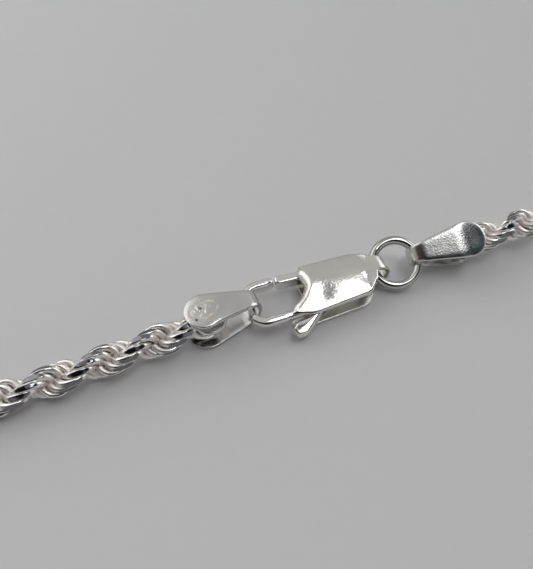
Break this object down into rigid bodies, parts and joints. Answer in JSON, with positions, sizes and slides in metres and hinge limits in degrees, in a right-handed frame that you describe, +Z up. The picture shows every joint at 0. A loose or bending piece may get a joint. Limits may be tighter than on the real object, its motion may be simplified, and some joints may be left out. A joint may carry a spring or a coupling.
{
  "type": "rope chain necklace",
  "caption": "Fastened neck chain of twisted rope links with folded end caps, a jump ring and a spring-gate lobster clasp.",
  "frame": {"origin": "on the table, under the middle of the clasp, on the outside of the shell's flat back plate", "axes": "+X along the clasp from its hook to its eye, +Z up from the table, the loop of rope on the +Y side"},
  "size_m": [0.1662, 0.1229, 0.0049],
  "materials": {
    "clasp_silver": "polished sterling silver",
    "trigger_silver": "polished sterling silver",
    "ring_silver": "polished sterling silver",
    "cap_silver": "satin-polished sterling silver",
    "rope_silver": "bright diamond-cut sterling silver wire",
    "spring_steel": "plain spring wire"
  },
  "bodies": {
    "clasp": {"clasp_shell": "clasp_silver", "clasp_hook": "clasp_silver", "trigger_pin": "trigger_silver", "trigger_spring": "spring_steel"},
    "trigger": {"trigger_lever": "trigger_silver"},
    "jump_ring": {"jump_ring": "ring_silver"},
    "right_cap": {"right_end_cap": "cap_silver", "right_end_links": "rope_silver"},
    "left_cap": {"left_end_cap": "cap_silver", "left_end_links": "rope_silver"},
    "right_rope_01": {"right_rope_01": "rope_silver"},
    "right_rope_02": {"right_rope_02": "rope_silver"},
    "right_rope_03": {"right_rope_03": "rope_silver"},
    "right_rope_04": {"right_rope_04": "rope_silver"},
    "right_rope_05": {"right_rope_05": "rope_silver"},
    "right_rope_06": {"right_rope_06": "rope_silver"},
    "right_rope_07": {"right_rope_07": "rope_silver"},
    "right_rope_08": {"right_rope_08": "rope_silver"},
    "right_rope_09": {"right_rope_09": "rope_silver"},
    "right_rope_10": {"right_rope_10": "rope_silver"},
    "right_rope_11": {"right_rope_11": "rope_silver"},
    "right_rope_12": {"right_rope_12": "rope_silver"},
    "right_rope_13": {"right_rope_13": "rope_silver"},
    "right_rope_14": {"right_rope_14": "rope_silver"},
    "right_rope_15": {"right_rope_15": "rope_silver"},
    "right_rope_16": {"right_rope_16": "rope_silver"},
    "right_rope_17": {"right_rope_17": "rope_silver"},
    "right_rope_18": {"right_rope_18": "rope_silver"},
    "right_rope_19": {"right_rope_19": "rope_silver"},
    "right_rope_20": {"right_rope_20": "rope_silver"},
    "left_rope_01": {"left_rope_01": "rope_silver"},
    "left_rope_02": {"left_rope_02": "rope_silver"},
    "left_rope_03": {"left_rope_03": "rope_silver"},
    "left_rope_04": {"left_rope_04": "rope_silver"},
    "left_rope_05": {"left_rope_05": "rope_silver"},
    "left_rope_06": {"left_rope_06": "rope_silver"},
    "left_rope_07": {"left_rope_07": "rope_silver"},
    "left_rope_08": {"left_rope_08": "rope_silver"},
    "left_rope_09": {"left_rope_09": "rope_silver"},
    "left_rope_10": {"left_rope_10": "rope_silver"},
    "left_rope_11": {"left_rope_11": "rope_silver"},
    "left_rope_12": {"left_rope_12": "rope_silver"},
    "left_rope_13": {"left_rope_13": "rope_silver"},
    "left_rope_14": {"left_rope_14": "rope_silver"},
    "left_rope_15": {"left_rope_15": "rope_silver"},
    "left_rope_16": {"left_rope_16": "rope_silver"},
    "left_rope_17": {"left_rope_17": "rope_silver"},
    "left_rope_18": {"left_rope_18": "rope_silver"},
    "left_rope_19": {"left_rope_19": "rope_silver"},
    "left_rope_20": {"left_rope_20": "rope_silver"}
  },
  "joints": [
    {"name": "trigger_hinge", "type": "hinge", "parent": "clasp", "child": "trigger", "pos_m": [-0.0006, 0.00135, 0.0012], "axis": [0, 0, 1], "range_deg": [0, 22], "stiffness_Nm_per_rad": 0.002, "springref_deg": -22.92},
    {"name": "jump_ring_swing", "type": "hinge", "parent": "clasp", "child": "jump_ring", "pos_m": [0.0043, 0.00045, 0.00145], "axis": [0, -1, 0], "range_deg": [0, 20]},
    {"name": "right_cap_swing", "type": "hinge", "parent": "jump_ring", "child": "right_cap", "pos_m": [0.00845, 0.00045, 0.00212], "axis": [0, -0.8988, -0.4384], "range_deg": [0, 25]},
    {"name": "left_cap_swing", "type": "hinge", "parent": "clasp", "child": "left_cap", "pos_m": [-0.00775, 0.00035, 0.0015], "axis": [0, 1, 0], "range_deg": [0, 15]},
    {"name": "right_rope_01_lift", "type": "hinge", "parent": "right_cap", "child": "right_rope_01", "pos_m": [0.01385, 0.00011, 0.00244], "axis": [-0.0349, -0.9994, 0], "range_deg": [0, 2.5]},
    {"name": "right_rope_02_bend", "type": "hinge", "parent": "right_rope_01", "child": "right_rope_02", "pos_m": [0.02438, 0.00094, 0.00196], "axis": [0, 0, 1], "range_deg": [-2.5, 0]},
    {"name": "right_rope_03_lift", "type": "hinge", "parent": "right_rope_02", "child": "right_rope_03", "pos_m": [0.03483, 0.00242, 0.00142], "axis": [0.1751, -0.9846, 0], "range_deg": [0, 2.5]},
    {"name": "right_rope_04_bend", "type": "hinge", "parent": "right_rope_03", "child": "right_rope_04", "pos_m": [0.04514, 0.00471, 0.00142], "axis": [0, 0, 1], "range_deg": [-2.5, 0]},
    {"name": "right_rope_05_lift", "type": "hinge", "parent": "right_rope_04", "child": "right_rope_05", "pos_m": [0.05515, 0.00805, 0.00142], "axis": [0.3748, -0.9271, 0], "range_deg": [0, 2.5]},
    {"name": "right_rope_06_bend", "type": "hinge", "parent": "right_rope_05", "child": "right_rope_06", "pos_m": [0.06459, 0.01275, 0.00142], "axis": [0, 0, 1], "range_deg": [-2.5, 0]},
    {"name": "right_rope_07_lift", "type": "hinge", "parent": "right_rope_06", "child": "right_rope_07", "pos_m": [0.07293, 0.01918, 0.00142], "axis": [0.7006, -0.7136, 0], "range_deg": [0, 2.5]},
    {"name": "right_rope_08_bend", "type": "hinge", "parent": "right_rope_07", "child": "right_rope_08", "pos_m": [0.07931, 0.02755, 0.00142], "axis": [0, 0, 1], "range_deg": [-2.5, 0]},
    {"name": "right_rope_09_lift", "type": "hinge", "parent": "right_rope_08", "child": "right_rope_09", "pos_m": [0.08282, 0.03747, 0.00142], "axis": [0.9833, -0.1819, 0], "range_deg": [0, 2.5]},
    {"name": "right_rope_10_bend", "type": "hinge", "parent": "right_rope_09", "child": "right_rope_10", "pos_m": [0.08323, 0.04798, 0.00142], "axis": [0, 0, 1], "range_deg": [-2.5, 0]},
    {"name": "right_rope_11_lift", "type": "hinge", "parent": "right_rope_10", "child": "right_rope_11", "pos_m": [0.08107, 0.0583, 0.00142], "axis": [0.953, 0.303, 0], "range_deg": [0, 2.5]},
    {"name": "right_rope_12_bend", "type": "hinge", "parent": "right_rope_11", "child": "right_rope_12", "pos_m": [0.07702, 0.06804, 0.00142], "axis": [0, 0, 1], "range_deg": [-2.5, 0]},
    {"name": "right_rope_13_lift", "type": "hinge", "parent": "right_rope_12", "child": "right_rope_13", "pos_m": [0.07159, 0.07708, 0.00142], "axis": [0.8225, 0.5688, 0], "range_deg": [0, 2.5]},
    {"name": "right_rope_14_bend", "type": "hinge", "parent": "right_rope_13", "child": "right_rope_14", "pos_m": [0.06509, 0.0854, 0.00142], "axis": [0, 0, 1], "range_deg": [-2.5, 0]},
    {"name": "right_rope_15_lift", "type": "hinge", "parent": "right_rope_14", "child": "right_rope_15", "pos_m": [0.05773, 0.09297, 0.00142], "axis": [0.6807, 0.7326, 0], "range_deg": [0, 2.5]},
    {"name": "right_rope_16_bend", "type": "hinge", "parent": "right_rope_15", "child": "right_rope_16", "pos_m": [0.04964, 0.09976, 0.00142], "axis": [0, 0, 1], "range_deg": [-2.5, 0]},
    {"name": "right_rope_17_lift", "type": "hinge", "parent": "right_rope_16", "child": "right_rope_17", "pos_m": [0.04091, 0.10571, 0.00142], "axis": [0.5193, 0.8546, 0], "range_deg": [0, 2.5]},
    {"name": "right_rope_18_bend", "type": "hinge", "parent": "right_rope_17", "child": "right_rope_18", "pos_m": [0.0316, 0.11069, 0.00142], "axis": [0, 0, 1], "range_deg": [-2.5, 0]},
    {"name": "right_rope_19_lift", "type": "hinge", "parent": "right_rope_18", "child": "right_rope_19", "pos_m": [0.02178, 0.11456, 0.00142], "axis": [0.3073, 0.9516, 0], "range_deg": [0, 2.5]},
    {"name": "right_rope_20_bend", "type": "hinge", "parent": "right_rope_19", "child": "right_rope_20", "pos_m": [0.01155, 0.11709, 0.00142], "axis": [0, 0, 1], "range_deg": [-2.5, 0]},
    {"name": "left_rope_01_lift", "type": "hinge", "parent": "left_cap", "child": "left_rope_01", "pos_m": [-0.01292, -0.00028, 0.0019], "axis": [-0.1219, 0.9925, 0], "range_deg": [0, 2.5]},
    {"name": "left_rope_02_bend", "type": "hinge", "parent": "left_rope_01", "child": "left_rope_02", "pos_m": [-0.02343, -0.00127, 0.00168], "axis": [0, 0, 1], "range_deg": [0, 2.5]},
    {"name": "left_rope_03_lift", "type": "hinge", "parent": "left_rope_02", "child": "left_rope_03", "pos_m": [-0.03399, -0.00153, 0.00142], "axis": [0.016, 0.9999, 0], "range_deg": [0, 2.5]},
    {"name": "left_rope_04_bend", "type": "hinge", "parent": "left_rope_03", "child": "left_rope_04", "pos_m": [-0.04452, -0.00083, 0.00142], "axis": [0, 0, 1], "range_deg": [0, 2.5]},
    {"name": "left_rope_05_lift", "type": "hinge", "parent": "left_rope_04", "child": "left_rope_05", "pos_m": [-0.05486, 0.00123, 0.00142], "axis": [0.2753, 0.9614, 0], "range_deg": [0, 2.5]},
    {"name": "left_rope_06_bend", "type": "hinge", "parent": "left_rope_05", "child": "left_rope_06", "pos_m": [-0.06462, 0.00522, 0.00142], "axis": [0, 0, 1], "range_deg": [0, 2.5]},
    {"name": "left_rope_07_lift", "type": "hinge", "parent": "left_rope_06", "child": "left_rope_07", "pos_m": [-0.07286, 0.01174, 0.00142], "axis": [0.7463, 0.6656, 0], "range_deg": [0, 2.5]},
    {"name": "left_rope_08_bend", "type": "hinge", "parent": "left_rope_07", "child": "left_rope_08", "pos_m": [-0.07824, 0.02076, 0.00142], "axis": [0, 0, 1], "range_deg": [0, 2.5]},
    {"name": "left_rope_09_lift", "type": "hinge", "parent": "left_rope_08", "child": "left_rope_09", "pos_m": [-0.08019, 0.03109, 0.00142], "axis": [0.9992, 0.0397, 0], "range_deg": [0, 2.5]},
    {"name": "left_rope_10_bend", "type": "hinge", "parent": "left_rope_09", "child": "left_rope_10", "pos_m": [-0.07937, 0.0416, 0.00142], "axis": [0, 0, 1], "range_deg": [0, 2.5]},
    {"name": "left_rope_11_lift", "type": "hinge", "parent": "left_rope_10", "child": "left_rope_11", "pos_m": [-0.07663, 0.05178, 0.00142], "axis": [0.9435, -0.3313, 0], "range_deg": [0, 2.5]},
    {"name": "left_rope_12_bend", "type": "hinge", "parent": "left_rope_11", "child": "left_rope_12", "pos_m": [-0.07252, 0.0615, 0.00142], "axis": [0, 0, 1], "range_deg": [0, 2.5]},
    {"name": "left_rope_13_lift", "type": "hinge", "parent": "left_rope_12", "child": "left_rope_13", "pos_m": [-0.06737, 0.07072, 0.00142], "axis": [0.8491, -0.5282, 0], "range_deg": [0, 2.5]},
    {"name": "left_rope_14_bend", "type": "hinge", "parent": "left_rope_13", "child": "left_rope_14", "pos_m": [-0.0614, 0.07943, 0.00142], "axis": [0, 0, 1], "range_deg": [0, 2.5]},
    {"name": "left_rope_15_lift", "type": "hinge", "parent": "left_rope_14", "child": "left_rope_15", "pos_m": [-0.0547, 0.08761, 0.00142], "axis": [0.7464, -0.6654, 0], "range_deg": [0, 2.5]},
    {"name": "left_rope_16_bend", "type": "hinge", "parent": "left_rope_15", "child": "left_rope_16", "pos_m": [-0.04734, 0.09519, 0.00142], "axis": [0, 0, 1], "range_deg": [0, 2.5]},
    {"name": "left_rope_17_lift", "type": "hinge", "parent": "left_rope_16", "child": "left_rope_17", "pos_m": [-0.03935, 0.10208, 0.00142], "axis": [0.6171, -0.7869, 0], "range_deg": [0, 2.5]},
    {"name": "left_rope_18_bend", "type": "hinge", "parent": "left_rope_17", "child": "left_rope_18", "pos_m": [-0.03073, 0.10815, 0.00142], "axis": [0, 0, 1], "range_deg": [0, 2.5]},
    {"name": "left_rope_19_lift", "type": "hinge", "parent": "left_rope_18", "child": "left_rope_19", "pos_m": [-0.02146, 0.11313, 0.00142], "axis": [0.4114, -0.9114, 0], "range_deg": [0, 2.5]},
    {"name": "left_rope_20_bend", "type": "hinge", "parent": "left_rope_19", "child": "left_rope_20", "pos_m": [-0.01155, 0.11663, 0.00142], "axis": [0, 0, 1], "range_deg": [0, 2.5]}
  ]
}
